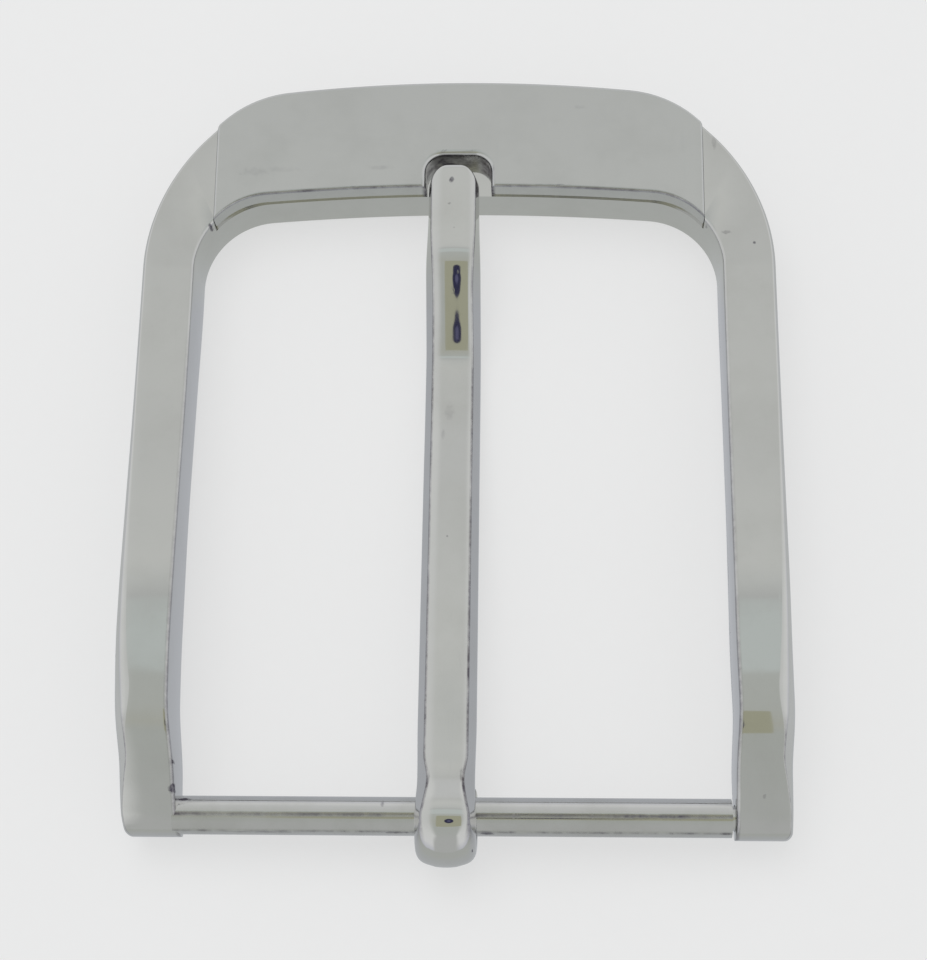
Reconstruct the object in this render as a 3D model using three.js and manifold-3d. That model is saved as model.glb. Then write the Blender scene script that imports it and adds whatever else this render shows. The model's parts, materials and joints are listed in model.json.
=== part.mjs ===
// A gentlemen's belt buckle for a 35 mm dress strap, in millimetres.
// It lies on its back: +Z is the front that shows when worn, +Y runs from the
// heel bar to the head, where the prong lands, and +X is to the right.
// Four pieces: a cast U-shaped frame, a plate laid over its head rail, a round
// heel bar held in the two feet, and a prong whose open loop turns on the bar.

import * as THREE from 'three';
import { mergeVertices } from 'three/addons/utils/BufferGeometryUtils.js';
import Module from 'manifold-3d';

const wasm = await Module();
wasm.setup();

// ---- Driving dimensions -------------------------------------------------

// Plan of the frame. Y is counted from the heel bar's axis.
const STRAP_GAP = 36.5; // clear width between the side rails, 35 mm strap + 1.5
const SIDE_RAIL = 3.65; // width of each side rail
const LENGTH = 51.5; // heel bar's axis to the outermost point of the head
const HEAD_DEPTH = 8.25; // head rail, front to back, on the centre line
const HEAD_BOW = 110; // radius of the head's outer edge
const HEAD_BOW_SHARE = 0.5512; // how much of the half width that bow takes
const HEAD_BOW_INNER = 170; // radius of the head's inner edge
const CORNER_HEAD_SHARE = 0.3607; // outer corner arc at the head, as a share of the half width
const CORNER_SIDE_SHARE = 0.6484; // outer corner arc at the side rail, likewise
const CORNER_INNER = 5.2; // radius of the inner corners
const HEAD_DRAFT = 0.25; // how far the head's inner wall leans back, bottom to top
const TOE_IN = 0.3; // the feet lean in by this much beside the bar
const TOE_IN_FLAT = 2.2; // all of it up to here, so the bar's ends meet a flat side
const TOE_IN_START = 7.5; // and none of it beyond here
const FOOT_COVER = 0.12; // metal past the bar at the end of each foot
const FOOT_ROUND = 0.7; // rounding of the feet's ends
const FOOT_CORNER = 0.45; // outer corner of each foot in plan
const INNER_EASE = 0.32; // eased front edge on the inside of the rails
const BACK_EASE = 0.12; // eased back edge on the inside
const OUTER_EASE = 0.2; // eased back edge on the outside

// Heights, from the plane that the back lies on.
const RAIL_TOP = 3.0; // head rail under the plate, and the ledge for the prong
const PLATE_THICK = 1.6;
const PLATE_STEP = 0.2; // the plate stands this proud of the shoulders beside it
const CREST_TOP = 6.6; // highest part of the side rails
const CREST_Y = 8.5; // where the crest is
const FOOT_SLOPE = 0.42; // the feet fall away towards their ends
const FOOT_PROUD = 0.05; // front of the feet above the bar

// Head plate.
const PLATE_INSIDE = 1.15; // its ends stop this far inside the rails' inner sides
const PLATE_SEAM = 0.06; // gap in the seam at each end
const PLATE_EDGE = 0.22; // chamfer along the plate's front edges
const NOTCH_PLAY = 0.195; // notch wider than the prong's tip, each side
const NOTCH_BEHIND = 0.5; // notch deeper than the tip's reach
const NOTCH_CORNER = 1.3; // inner corners of the notch
const NOTCH_EDGE = 0.15; // chamfer round the notch

// Heel bar.
const BAR_RADIUS = 1.25;
const BAR_END_RADIUS = 0.8; // shouldered end that enters the foot
const BAR_END_SHARE = 0.63; // its length, as a share of the rail's width
const BAR_END_CHAMFER = 0.2;
const SOCKET_FIT = 0.06; // radial clearance in the blind socket
const SOCKET_END = 0.15; // clearance at the bottom of the socket

// Prong.
const PRONG_X = -0.33; // it sits a little left of the centre line on the bar
const EYE_PLAY = 0.35; // radial clearance of the loop on the bar
const EYE_HANG = 0.28; // the loop hangs this far off the bar's centre
const LOOP_WALL = 1.35; // thickness of the strip round the bar
const LOOP_FLOOR = 0.1; // the loop stays this far off the plane of the back
const LOOP_TAIL_WALL = 1.05; // its thickness at the free end
const LOOP_TAIL_ANGLE = 352; // where the free end stops, from +Y through +Z
const LOOP_WIDTH = 3.95;
const PRONG_WIDTH = 3.84; // at the base of the sloped sides
const PRONG_FACE = 2.8; // nearly flat on top
const PRONG_THICK = 1.7; // shaft
const TIP_OVERLAP = 1.9; // how far the tip reaches over the ledge
const TIP_FACE = 3.1;
const TIP_WIDTH = TIP_FACE + 0.45;
const TIP_THICK = 1.78;
const TIP_NOSE = 1.4; // corner radius of the tip
const TIP_REST = 0.02; // lies this close to the ledge
const TIP_FLAT = 6.3; // level length at the tip, the part before the ledge included
const RAMP_LENGTH = 7.2; // rise from the shaft's lowest point to the tip's level
const RAMP_RISE = 2.47;
const WAIST_Y = 2.2; // pinch between the loop and the shaft
const WAIST_FACE = 2.3;

// ---- Worked out from them -----------------------------------------------

const HALF_INNER = STRAP_GAP / 2;
const HALF_OUTER = HALF_INNER + SIDE_RAIL;
const HALF_FEET = HALF_INNER - TOE_IN; // inner side of the feet, where the bar meets them
const HEAD_INNER = LENGTH - HEAD_DEPTH;
const HEAD_START = HEAD_INNER - CORNER_INNER;
const FOOT_END = BAR_RADIUS + FOOT_COVER; // feet reach this far past the bar's axis
const CORNER_SIDE = CORNER_SIDE_SHARE * HALF_OUTER;
const PLATE_HALF = HALF_INNER - PLATE_INSIDE;
const PLATE_TOP = RAIL_TOP + PLATE_THICK;
const SHOULDER_TOP = PLATE_TOP - PLATE_STEP;
const BACK_LIFT = EYE_PLAY + LOOP_WALL + LOOP_FLOOR; // the back bows up to clear the loop
const BAR_Z = BACK_LIFT + BAR_RADIUS; // the bar is flush with the back of the feet
const FOOT_TOP = BAR_Z + BAR_RADIUS + FOOT_PROUD;
const BAR_END_LENGTH = BAR_END_SHARE * SIDE_RAIL;
const TIP_TOP = RAIL_TOP + TIP_REST + TIP_THICK;
const NOTCH_HALF = Math.abs(PRONG_X) + TIP_WIDTH / 2 + NOTCH_PLAY;
const NOTCH_BACK = HEAD_INNER + HEAD_DRAFT + TIP_OVERLAP + NOTCH_BEHIND;
const PRONG_LENGTH = HEAD_INNER + TIP_OVERLAP;
const RAMP_END = PRONG_LENGTH - TIP_FLAT;
const DIP_Y = RAMP_END - RAMP_LENGTH;
const DIP_TOP = TIP_TOP - RAMP_RISE;
const EYE_RADIUS = BAR_RADIUS + EYE_PLAY;
const LOOP_RADIUS = EYE_RADIUS + LOOP_WALL;
const LOOP_TOP = BAR_Z + LOOP_RADIUS;
const REACH_BACK = LOOP_RADIUS + EYE_HANG; // the loop is the lowest point in plan
const MIDDLE_Y = (LENGTH - REACH_BACK) / 2; // moves to the origin at the end

const rad = THREE.MathUtils.degToRad;

// ---- Materials ------------------------------------------------------------

function metal(name, color, roughness) {
  return new THREE.MeshStandardMaterial({ name, color, roughness, metalness: 1 });
}
const castNickel = metal('polished_nickel_cast', 0xb4b9b1, 0.22);
const plateNickel = metal('polished_nickel_plate', 0xafb4b0, 0.2);
const barNickel = metal('nickel_bar', 0xa9aab0, 0.3);
const prongNickel = metal('polished_nickel_prong', 0xb7bcb4, 0.2);

// ---- Helpers ----------------------------------------------------------------

// Smooth value at x through rows of [x, value], flat beyond both ends.
function smooth(rows, x) {
  const last = rows.length - 1;
  if (x <= rows[0][0]) return rows[0][1];
  if (x >= rows[last][0]) return rows[last][1];
  const slope = (i) => {
    if (i === 0 || i === last) return 0;
    const before = (rows[i][1] - rows[i - 1][1]) / (rows[i][0] - rows[i - 1][0]);
    const after = (rows[i + 1][1] - rows[i][1]) / (rows[i + 1][0] - rows[i][0]);
    return before * after <= 0 ? 0 : (2 * before * after) / (before + after);
  };
  const i = rows.findIndex((row) => row[0] > x) - 1;
  const span = rows[i + 1][0] - rows[i][0];
  const t = (x - rows[i][0]) / span;
  const a = rows[i][1];
  const b = rows[i + 1][1];
  const rise = t * t * (3 - 2 * t);
  const start = t * (1 - t) * (1 - t) * span * slope(i);
  const end = t * t * (t - 1) * span * slope(i + 1);
  return a + (b - a) * rise + start + end;
}

// Closed solid through a row of sections, each an array of THREE.Vector3 with
// the same number of points. The sections' outline is convex enough for a fan.
function loft(sections) {
  const count = sections[0].length;
  const positions = sections.flat().flatMap((p) => [p.x, p.y, p.z]);
  const faces = [];
  for (let s = 0; s + 1 < sections.length; s += 1) {
    for (let i = 0; i < count; i += 1) {
      const j = (i + 1) % count;
      const a = s * count;
      const b = a + count;
      faces.push(a + i, a + j, b + j);
      faces.push(a + i, b + j, b + i);
    }
  }
  const end = (sections.length - 1) * count;
  for (let i = 1; i + 1 < count; i += 1) {
    faces.push(0, i + 1, i);
    faces.push(end, end + i, end + i + 1);
  }
  const geometry = new THREE.BufferGeometry();
  geometry.setAttribute('position', new THREE.Float32BufferAttribute(positions, 3));
  geometry.setIndex(faces);
  return geometry;
}

function toSolid(geometry) {
  const bare = geometry.clone();
  bare.deleteAttribute('normal');
  bare.deleteAttribute('uv');
  const merged = mergeVertices(bare, 1e-4);
  return new wasm.Manifold(new wasm.Mesh({
    numProp: 3,
    vertProperties: new Float32Array(merged.attributes.position.array),
    triVerts: new Uint32Array(merged.index.array),
  }));
}

function toGeometry(solid) {
  const mesh = solid.getMesh();
  const geometry = new THREE.BufferGeometry();
  geometry.setAttribute('position', new THREE.BufferAttribute(mesh.vertProperties, 3));
  geometry.setIndex(new THREE.BufferAttribute(mesh.triVerts, 1));
  return geometry;
}

function box(x0, x1, y0, y1, z0, z1) {
  const geometry = new THREE.BoxGeometry(x1 - x0, y1 - y0, z1 - z0);
  return geometry.translate((x0 + x1) / 2, (y0 + y1) / 2, (z0 + z1) / 2);
}

// A round body along X, from rows of [x, radius] that start and end on the axis.
function turned(rows, sides) {
  const profile = rows.map(([x, radius]) => new THREE.Vector2(radius, x));
  return new THREE.LatheGeometry(profile, sides).rotateZ(-Math.PI / 2);
}

// ---- Outlines in plan -------------------------------------------------------

// Half of a U outline, right side. t runs 0 to 1 up the side rail, 1 to 2 round
// the corner (arc, short flat at 45 degrees, arc) and 2 to 3 along the head's
// bow to the centre line.
function outline({ half, top, bow, bowHalf, headArc, sideArc }) {
  const turn = Math.asin(bowHalf / bow);
  const diagonal = Math.SQRT1_2;
  const join = new THREE.Vector2(bow * Math.sin(turn), top - bow * (1 - Math.cos(turn)));
  const upper = new THREE.Vector2(
    join.x + headArc * (diagonal - Math.sin(turn)),
    join.y - headArc * (Math.cos(turn) - diagonal),
  );
  const flat = (half - upper.x - sideArc * (1 - diagonal)) / diagonal;
  const lower = new THREE.Vector2(upper.x + flat * diagonal, upper.y - flat * diagonal);
  const springY = lower.y - sideArc * diagonal;
  const lengths = [sideArc * rad(45), flat, headArc * (rad(45) - turn)];
  const total = lengths[0] + lengths[1] + lengths[2];

  return (t) => {
    if (t <= 1) return new THREE.Vector2(half, -FOOT_END + (springY + FOOT_END) * t);
    if (t > 2) {
      const angle = turn * (3 - t);
      return new THREE.Vector2(bow * Math.sin(angle), top - bow * (1 - Math.cos(angle)));
    }
    let along = (t - 1) * total;
    if (along < lengths[0]) {
      const a = along / sideArc;
      return new THREE.Vector2(
        half - sideArc * (1 - Math.cos(a)),
        springY + sideArc * Math.sin(a),
      );
    }
    along -= lengths[0];
    if (along < lengths[1]) {
      return new THREE.Vector2(lower.x - along * diagonal, lower.y + along * diagonal);
    }
    const a = rad(45) + (along - lengths[1]) / headArc;
    return new THREE.Vector2(
      upper.x - headArc * (diagonal - Math.cos(a)),
      upper.y + headArc * (Math.sin(a) - diagonal),
    );
  };
}

const outerEdge = outline({
  half: HALF_OUTER,
  top: LENGTH,
  bow: HEAD_BOW,
  bowHalf: HEAD_BOW_SHARE * HALF_OUTER,
  headArc: CORNER_HEAD_SHARE * HALF_OUTER,
  sideArc: CORNER_SIDE,
});

// The inner corner is one arc, tangent to the rail and to the head's bow.
const innerBowSine = (HALF_INNER - CORNER_INNER) / (HEAD_BOW_INNER - CORNER_INNER);
const innerEdge = outline({
  half: HALF_INNER,
  top: HEAD_INNER,
  bow: HEAD_BOW_INNER,
  bowHalf: HEAD_BOW_INNER * innerBowSine,
  headArc: CORNER_INNER,
  sideArc: CORNER_INNER,
});

// Stations along the half U, closer together at the foot and the crest.
function stations() {
  const list = [];
  const [footSteps, sideSteps, cornerSteps, headSteps] = [8, 40, 16, 10];
  const railLength = outerEdge(1).y + FOOT_END;
  const first = FOOT_ROUND / railLength;
  for (let i = 0; i < footSteps; i += 1) {
    list.push(first * (1 - Math.cos(rad(90) * (i / footSteps))));
  }
  for (let i = 0; i <= sideSteps; i += 1) {
    const even = i / sideSteps;
    list.push(first + (1 - first) * (0.5 * even + 0.5 * even * even));
  }
  for (let i = 1; i <= cornerSteps; i += 1) list.push(1 + i / cornerSteps);
  for (let i = 1; i <= headSteps; i += 1) list.push(2 + i / headSteps);
  return list;
}

// ---- Heights along the side rails -----------------------------------------

// Rows of [y, height]. up() counts from the foot to the crest, down() from the
// crest to the shoulder beside the plate.
const up = (share, height) => [CREST_Y * share, FOOT_TOP + (CREST_TOP - FOOT_TOP) * height];
const down = (share, height) => [
  CREST_Y + (HEAD_START - CREST_Y) * share,
  SHOULDER_TOP + (CREST_TOP - SHOULDER_TOP) * height,
];
const frontRows = [
  [-2 * FOOT_END, FOOT_TOP - 2 * FOOT_END * FOOT_SLOPE],
  up(0, 0),
  up(0.24, 0.41),
  up(0.54, 0.84),
  up(0.65, 0.95),
  up(0.77, 0.99),
  up(1, 1),
  down(0.17, 0.92),
  down(0.41, 0.66),
  down(0.68, 0.34),
  down(1, 0.12),
  [HEAD_INNER + 2, SHOULDER_TOP],
];
const backRows = [
  [down(0.3, 0)[0], BACK_LIFT],
  [down(0.68, 0)[0], BACK_LIFT * 0.5],
  [HEAD_START - 1, 0],
];
// The outer bevel: widest beside the crest, closing to a crease on the feet.
const bevelDropRows = [
  [0, 0.3],
  [2, 0.55],
  [3.8, 0.9],
  [6.5, 1],
  [9.5, 0.75],
  [12, 0.55],
  [16, 0.42],
  [24, 0.34],
  [30, 0.3],
];
const bevelInsetRows = [
  [0, 0.2],
  [2, 0.42],
  [3.8, 0.68],
  [6.5, 0.66],
  [9.5, 0.5],
  [12, 0.4],
  [16, 0.33],
  [24, 0.26],
  [30, 0.22],
];

// How far a rounding of the foot's end has fallen at y, 0 on the straight part.
function footFall(y, radius) {
  const past = Math.max(0, -y - (FOOT_END - radius));
  return radius - Math.sqrt(Math.max(0, radius ** 2 - past ** 2));
}

// A point that starts on an edge in plan and moves across the rail.
function railPoint(edge, across, shift, z) {
  return new THREE.Vector3(edge.x + across.x * shift, edge.y + across.y * shift, z);
}

// One section of the frame across the rail, on the right side.
function frameSection(t) {
  const outer = outerEdge(t);
  const inner = innerEdge(t);
  const y = outer.y;
  const toeIn = smooth([[TOE_IN_FLAT, TOE_IN], [TOE_IN_START, 0]], y);
  outer.x -= toeIn + footFall(y, FOOT_CORNER);
  inner.x -= toeIn;
  const fall = footFall(y, FOOT_ROUND);
  const front = smooth(frontRows, y) - fall;
  const back = smooth(backRows, y) + fall;
  const drop = smooth(bevelDropRows, y);
  const inset = smooth(bevelInsetRows, y);
  const across = outer.clone().sub(inner).normalize();
  const lean = HEAD_DRAFT * THREE.MathUtils.clamp((t - 1.2) / 0.8, 0, 1);
  const third = INNER_EASE / 3;
  const soft = drop * 0.25; // the bevel's upper edge is worn round
  return [
    railPoint(inner, across, BACK_EASE, back),
    railPoint(inner, across, 0, back + BACK_EASE),
    railPoint(inner, across, lean, front - INNER_EASE),
    railPoint(inner, across, lean + third, front - third),
    railPoint(inner, across, lean + INNER_EASE, front),
    railPoint(outer, across, -inset * 1.25, front),
    railPoint(outer, across, -inset * 0.9, front - soft * 0.4),
    railPoint(outer, across, -inset * 0.15, front - drop + soft * 0.4),
    railPoint(outer, across, 0, front - drop - soft),
    railPoint(outer, across, 0, back + OUTER_EASE),
    railPoint(outer, across, -OUTER_EASE, back),
  ];
}

const mirrored = (section) => section.map((p) => new THREE.Vector3(-p.x, p.y, p.z));

function bothSides(makeSection, list) {
  const right = list.map(makeSection);
  const left = right.slice(0, -1).reverse().map(mirrored);
  return loft([...right, ...left]);
}

// ---- Sub-parts ----------------------------------------------------------------

// The casting: two side rails, two feet with blind sockets, and the head rail
// with the recess that the plate lies in.
function makeFrame() {
  let solid = toSolid(bothSides(frameSection, stations()));
  const recessHalf = PLATE_HALF + PLATE_SEAM;
  const recess = box(
    -recessHalf, recessHalf, HEAD_START - 2, LENGTH + 2, RAIL_TOP, CREST_TOP + 1,
  );
  solid = solid.subtract(toSolid(recess));
  const radius = BAR_END_RADIUS + SOCKET_FIT;
  const reach = HALF_FEET + BAR_END_LENGTH + SOCKET_END;
  const drill = turned([[-reach, 0], [-reach, radius], [reach, radius], [reach, 0]], 32);
  solid = solid.subtract(toSolid(drill.translate(0, 0, BAR_Z)));
  return toGeometry(solid);
}

// The plate: the head's own outline between two straight seams, with chamfered
// front edges and the notch cut through it.
function makeHeadPlate() {
  const slope = PLATE_EDGE * 0.3;
  const section = (t) => {
    const outer = outerEdge(t);
    const inner = innerEdge(t);
    const across = outer.clone().sub(inner).normalize();
    return [
      railPoint(inner, across, HEAD_DRAFT, RAIL_TOP),
      railPoint(inner, across, HEAD_DRAFT, PLATE_TOP - PLATE_EDGE),
      railPoint(inner, across, HEAD_DRAFT + slope, PLATE_TOP - slope),
      railPoint(inner, across, HEAD_DRAFT + PLATE_EDGE, PLATE_TOP),
      railPoint(outer, across, -PLATE_EDGE, PLATE_TOP),
      railPoint(outer, across, -slope, PLATE_TOP - slope),
      railPoint(outer, across, 0, PLATE_TOP - PLATE_EDGE),
      railPoint(outer, across, 0, RAIL_TOP),
    ];
  };
  let solid = toSolid(bothSides(section, stations().filter((t) => t >= 1)));
  solid = solid.intersect(toSolid(box(
    -PLATE_HALF, PLATE_HALF, HEAD_START - 3, LENGTH + 3, RAIL_TOP - 1, PLATE_TOP + 1,
  )));
  for (const [grow, from] of [[0, RAIL_TOP - 1], [NOTCH_EDGE, PLATE_TOP - NOTCH_EDGE]]) {
    const half = NOTCH_HALF + grow;
    const corner = NOTCH_CORNER + grow;
    const centreY = NOTCH_BACK + grow - corner;
    const shape = new THREE.Shape();
    shape.moveTo(half, HEAD_INNER - 3);
    shape.lineTo(half, centreY);
    shape.absarc(half - corner, centreY, corner, 0, rad(90));
    shape.lineTo(corner - half, centreY + corner);
    shape.absarc(corner - half, centreY, corner, rad(90), rad(180));
    shape.lineTo(-half, HEAD_INNER - 3);
    shape.closePath();
    const cut = new THREE.ExtrudeGeometry(shape, {
      depth: PLATE_TOP + 1 - from,
      bevelEnabled: false,
      curveSegments: 10,
    });
    solid = solid.subtract(toSolid(cut.translate(0, 0, from)));
  }
  return toGeometry(solid);
}

// The bar: full size between the feet, smaller chamfered ends inside them.
function makeHeelBar() {
  const end = HALF_FEET + BAR_END_LENGTH;
  const chamfer = BAR_END_CHAMFER;
  const half = [
    [HALF_FEET, BAR_RADIUS],
    [HALF_FEET, BAR_END_RADIUS],
    [end - chamfer, BAR_END_RADIUS],
    [end, BAR_END_RADIUS - chamfer],
    [end, 0],
  ];
  const other = half.map(([x, radius]) => [-x, radius]).reverse();
  return turned([...other, ...half], 32);
}

// Rows of [y, value] along the straight part of the prong.
const ramp = (share, height) => [DIP_Y + RAMP_LENGTH * share, DIP_TOP + RAMP_RISE * height];
const prongTopRows = [
  [-EYE_HANG, LOOP_TOP],
  [0.7, LOOP_TOP - 0.1],
  [WAIST_Y, LOOP_TOP - 0.55],
  [WAIST_Y + 1.8, LOOP_TOP - 0.8],
  [10, LOOP_TOP - 1.45],
  [DIP_Y - 10, DIP_TOP + 1],
  [DIP_Y - 3, DIP_TOP + 0.14],
  ramp(0, 0),
  ramp(0.083, 0.044),
  ramp(0.25, 0.209),
  ramp(0.39, 0.376),
  ramp(0.6, 0.645),
  ramp(0.76, 0.836),
  ramp(0.9, 0.971),
  ramp(1, 1),
];
const thicknessRows = [
  [-EYE_HANG, LOOP_WALL],
  [WAIST_Y, PRONG_THICK - 0.1],
  [6, PRONG_THICK],
  [DIP_Y, PRONG_THICK - 0.1],
  [RAMP_END, PRONG_THICK - 0.05],
  [RAMP_END + 2.4, TIP_THICK],
];
const faceRows = [
  [-EYE_HANG, 3.1],
  [0.8, PRONG_FACE - 0.1],
  [WAIST_Y, WAIST_FACE],
  [WAIST_Y + 1.6, PRONG_FACE],
  [DIP_Y, PRONG_FACE],
  [RAMP_END - 3, PRONG_FACE - 0.1],
  [RAMP_END + 2, TIP_FACE],
];
const widthRows = [
  [-EYE_HANG, LOOP_WIDTH],
  [WAIST_Y, PRONG_WIDTH - 0.12],
  [6, PRONG_WIDTH],
  [PRONG_LENGTH - 8, PRONG_WIDTH - 0.05],
  [PRONG_LENGTH - 3, TIP_WIDTH],
];

// A section of the strip: sloped sides, a narrow land at the base and eased
// edges on top. place(x, k) puts a point, with k from 0 at the inside to 1.
// soft goes from 0, crisp edges along the shaft, to 1, the loop's round shoulders.
function stripSection(face, width, soft, place) {
  const f = face / 2;
  const w = width / 2;
  const crisp = [[w - 0.1, 0], [w, 0.07], [w, 0.24], [f + 0.14, 0.88], [f + 0.06, 0.96], [f - 0.1, 1]];
  const round = [[w - 0.1, 0], [w, 0.07], [w, 0.35], [w - 0.14, 0.68], [w - 0.42, 0.9], [w - 0.9, 1]];
  const half = crisp.map(([x, k], i) => [
    THREE.MathUtils.lerp(x, round[i][0], soft),
    THREE.MathUtils.lerp(k, round[i][1], soft),
  ]);
  const other = half.map(([x, k]) => [-x, k]).reverse();
  return [...half, ...other].map(([x, k]) => place(x, k));
}

// The loop, from its free tail under the bar round to the top, 90 degrees.
function loopSection(degrees) {
  const { lerp, smoothstep } = THREE.MathUtils;
  const a = rad(degrees);
  const wall = lerp(LOOP_WALL, LOOP_TAIL_WALL, smoothstep(degrees, 300, LOOP_TAIL_ANGLE));
  const soft = smoothstep(degrees, 91, 140);
  const face = lerp(faceRows[0][1], LOOP_WIDTH - 0.1, smoothstep(degrees, 91, 150));
  return stripSection(face, LOOP_WIDTH, soft, (x, k) => new THREE.Vector3(
    x,
    -EYE_HANG + Math.cos(a) * (EYE_RADIUS + wall * k),
    BAR_Z + Math.sin(a) * (EYE_RADIUS + wall * k),
  ));
}

function shaftSection(y) {
  const nearEnd = Math.max(0, y - (PRONG_LENGTH - TIP_NOSE)) / TIP_NOSE;
  const inward = TIP_NOSE * (1 - Math.sqrt(Math.max(0, 1 - nearEnd * nearEnd)));
  const top = smooth(prongTopRows, y);
  const thick = smooth(thicknessRows, y);
  const face = smooth(faceRows, y) - 2 * inward;
  const width = smooth(widthRows, y) - 2 * inward;
  return stripSection(face, width, 0, (x, k) => new THREE.Vector3(x, y, top - thick * (1 - k)));
}

function makeProng() {
  const sections = [];
  const loopSteps = 40;
  const shaftSteps = 100;
  for (let i = 0; i <= loopSteps; i += 1) {
    sections.push(loopSection(THREE.MathUtils.lerp(LOOP_TAIL_ANGLE, 91, i / loopSteps)));
  }
  for (let i = 0; i <= shaftSteps; i += 1) {
    const share = (i / shaftSteps) ** 1.15; // sections lie closer beside the loop
    sections.push(shaftSection(THREE.MathUtils.lerp(-EYE_HANG, PRONG_LENGTH, share)));
  }
  return loft(sections.reverse());
}

// ---- The buckle -----------------------------------------------------------------

const buckle = new THREE.Group();
buckle.position.y = -MIDDLE_Y;

function addPart(name, geometry, material) {
  const mesh = new THREE.Mesh(geometry, material);
  mesh.name = name;
  buckle.add(mesh);
  return mesh;
}

addPart('frame', makeFrame(), castNickel);
addPart('head_plate', makeHeadPlate(), plateNickel);
addPart('heel_bar', makeHeelBar(), barNickel).position.z = BAR_Z;
addPart('prong', makeProng(), prongNickel).position.x = PRONG_X;

const group = new THREE.Group();
group.add(buckle);

export default group;
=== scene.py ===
# %% [markdown]
# # A gentleman's belt buckle in polished nickel
#
# The buckle lies on its back. Its frame is a casting that bows up near the heel, a plate
# covers the head rail, a round bar joins the feet, and a prong turns on that bar.
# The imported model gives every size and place. The pieces here are finer skins of the
# same solids, with eased edges, because polished metal shows each facet and each
# sharp corner as a broken reflection.

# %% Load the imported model
import json
import math

import bmesh
import bpy
import numpy as np
from mathutils import Matrix, Vector


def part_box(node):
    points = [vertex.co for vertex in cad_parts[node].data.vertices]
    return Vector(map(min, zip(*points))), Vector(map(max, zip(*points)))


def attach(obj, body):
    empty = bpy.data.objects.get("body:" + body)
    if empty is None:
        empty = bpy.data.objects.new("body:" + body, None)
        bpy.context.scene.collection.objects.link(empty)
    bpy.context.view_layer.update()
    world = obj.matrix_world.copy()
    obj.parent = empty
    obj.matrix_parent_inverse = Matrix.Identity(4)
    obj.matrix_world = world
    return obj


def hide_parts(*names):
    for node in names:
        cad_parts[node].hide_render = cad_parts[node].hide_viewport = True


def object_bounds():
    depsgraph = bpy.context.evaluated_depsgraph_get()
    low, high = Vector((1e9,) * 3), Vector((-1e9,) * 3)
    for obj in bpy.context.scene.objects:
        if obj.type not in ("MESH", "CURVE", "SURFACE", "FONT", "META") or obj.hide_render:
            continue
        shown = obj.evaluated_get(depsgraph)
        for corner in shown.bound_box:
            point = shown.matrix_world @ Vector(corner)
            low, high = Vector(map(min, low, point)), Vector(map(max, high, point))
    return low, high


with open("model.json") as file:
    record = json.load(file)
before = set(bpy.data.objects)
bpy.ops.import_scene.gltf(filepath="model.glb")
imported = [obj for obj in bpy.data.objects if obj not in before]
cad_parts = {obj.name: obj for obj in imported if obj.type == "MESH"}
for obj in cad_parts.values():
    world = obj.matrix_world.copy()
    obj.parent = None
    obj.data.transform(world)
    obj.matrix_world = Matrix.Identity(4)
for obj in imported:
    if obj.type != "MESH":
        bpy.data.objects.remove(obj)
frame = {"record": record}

cad_low, cad_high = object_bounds()
print("buckle in the packed model, mm:", [round(1000 * s, 2) for s in cad_high - cad_low])

# %% [markdown]
# ## Measures
#
# A buckle is drawn from its heel bar, so lengths along the buckle are counted from the
# bar's axis, in millimetres, and moved into the frame's metres at the very end. What can
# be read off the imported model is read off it. The rest are the maker's sizes.

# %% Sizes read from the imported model
MM = 0.001
hinge = Vector(frame["record"]["behaviour"]["joints"][0]["pos_m"])


def box_mm(node):
    low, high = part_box(node)
    shift = Vector((0, hinge.y, 0))
    return (low - shift) / MM, (high - shift) / MM


rail_low, rail_high = box_mm("frame")
plate_low, plate_high = box_mm("head_plate")
bar_low, bar_high = box_mm("heel_bar")
prong_low, prong_high = box_mm("prong")

HALF_OUTER = rail_high.x
LENGTH = rail_high.y
FOOT_END = -rail_low.y
CREST_TOP = rail_high.z
PLATE_HALF = plate_high.x
PLATE_TOP = plate_high.z
RAIL_TOP = plate_low.z
BAR_RADIUS = (bar_high.z - bar_low.z) / 2
BAR_Z = hinge.z / MM
BAR_REACH = bar_high.x
PRONG_X = (prong_low.x + prong_high.x) / 2
PRONG_LENGTH = prong_high.y
LOOP_WIDTH = prong_high.x - prong_low.x
print(f"rails {2 * HALF_OUTER:.2f} wide, head at {LENGTH:.2f}, bar {2 * BAR_RADIUS:.2f} thick")

# %% Sizes of the frame casting
STRAP_GAP = 36.5
HALF_INNER = STRAP_GAP / 2
HEAD_DEPTH = 8.25
HEAD_INNER = LENGTH - HEAD_DEPTH
HEAD_DRAFT = 0.25
HEAD_BOW = 110
HEAD_BOW_HALF = 0.5512 * HALF_OUTER
HEAD_BOW_INNER = 170
CORNER_HEAD = 7.9
CORNER_SIDE = 14.2
CORNER_INNER = 5.2
SHOULDER_TOP = 4.4
FOOT_TOP = 4.35
CREST_Y = 8.5
BACK_LIFT = 1.8
FOOT_ROUND = 0.7
TOE_IN = 0.3
TOE_IN_FLAT = 2.2
TOE_IN_START = 7.5
HALF_FEET = HALF_INNER - TOE_IN
HEAD_START = HEAD_INNER - CORNER_INNER
HEAD_BOW_INNER_HALF = (
    HEAD_BOW_INNER * (HALF_INNER - CORNER_INNER) / (HEAD_BOW_INNER - CORNER_INNER)
)
print(f"strap gap {STRAP_GAP}, head rail {HEAD_DEPTH} deep")

# %% [markdown]
# ## Tools
#
# Four helpers carry the whole model. `smooth` draws a fair curve through a few heights,
# as a spline batten does. `ease` rounds the corners of a section. `skin` stretches a
# surface over a row of sections, which gives clean four-sided faces that run with the
# metal. `cut` takes one solid from another, as a milling cutter would.


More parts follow.
